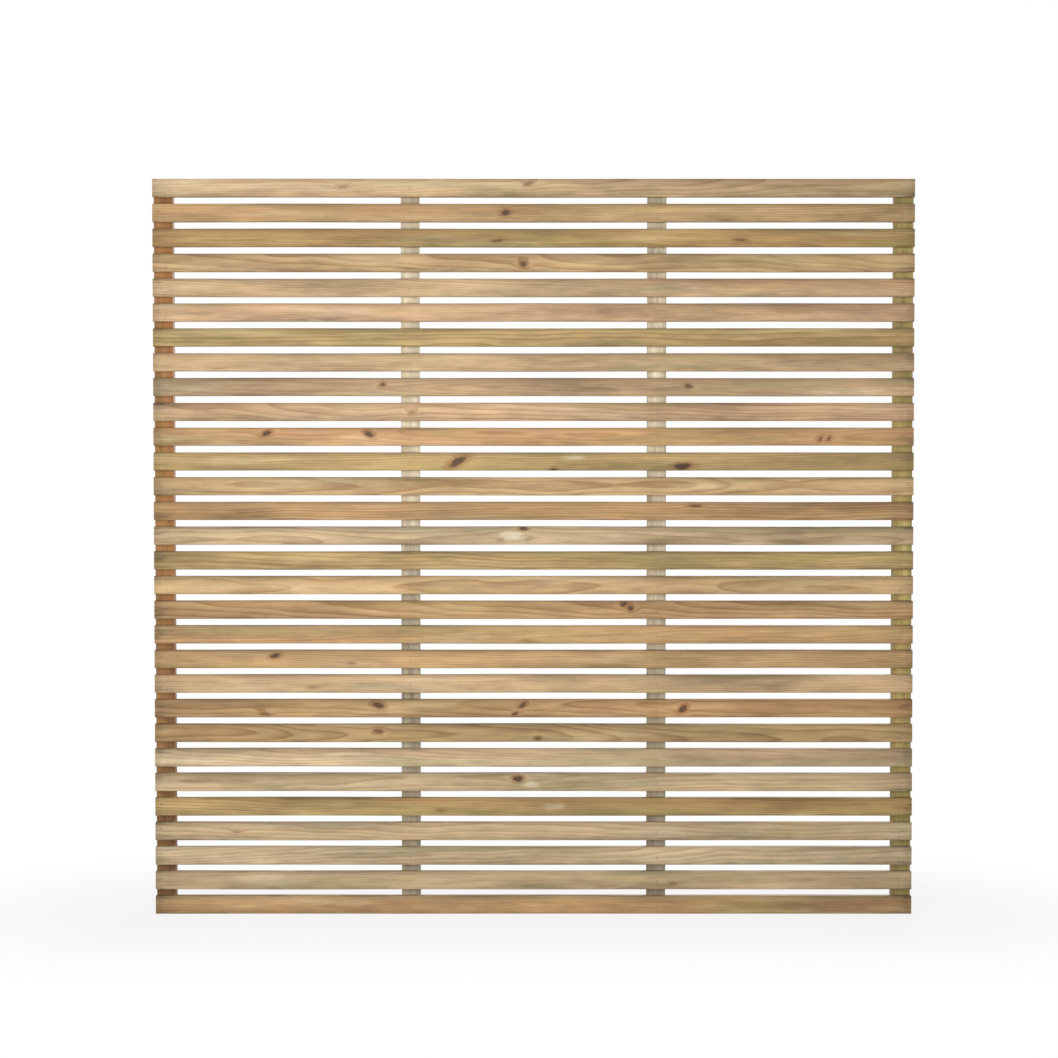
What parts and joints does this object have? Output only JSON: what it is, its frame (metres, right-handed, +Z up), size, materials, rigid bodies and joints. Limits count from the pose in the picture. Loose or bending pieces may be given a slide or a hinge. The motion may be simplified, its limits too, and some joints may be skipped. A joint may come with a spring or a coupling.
{
  "type": "slatted fence panel",
  "caption": "Flat timber fence panel of level slats with narrow gaps, pinned to upright battens behind; fixes between posts as a screen.",
  "frame": {"origin": "middle of the panel's foot, centred on its width and depth", "axes": "+X along the slats to the right seen from the front, +Y from the slat faces to the back of the battens, +Z up"},
  "size_m": [1.8, 0.051, 1.7453],
  "materials": {
    "slat_timber": "planed pressure-treated pine, matt, honey to olive with knots",
    "batten_timber": "planed pressure-treated pine, matt",
    "pin_steel": "dull zinc coat"
  },
  "bodies": {
    "root": {"slat_01": "slat_timber", "slat_02": "slat_timber", "slat_03": "slat_timber", "slat_04": "slat_timber", "slat_05": "slat_timber", "slat_06": "slat_timber", "slat_07": "slat_timber", "slat_08": "slat_timber", "slat_09": "slat_timber", "slat_10": "slat_timber", "slat_11": "slat_timber", "slat_12": "slat_timber", "slat_13": "slat_timber", "slat_14": "slat_timber", "slat_15": "slat_timber", "slat_16": "slat_timber", "slat_17": "slat_timber", "slat_18": "slat_timber", "slat_19": "slat_timber", "slat_20": "slat_timber", "slat_21": "slat_timber", "slat_22": "slat_timber", "slat_23": "slat_timber", "slat_24": "slat_timber", "slat_25": "slat_timber", "slat_26": "slat_timber", "slat_27": "slat_timber", "slat_28": "slat_timber", "slat_29": "slat_timber", "slat_30": "slat_timber", "batten_left_end": "batten_timber", "batten_left_middle": "batten_timber", "batten_right_middle": "batten_timber", "batten_right_end": "batten_timber", "fixing_pins": "pin_steel"}
  },
  "joints": []
}
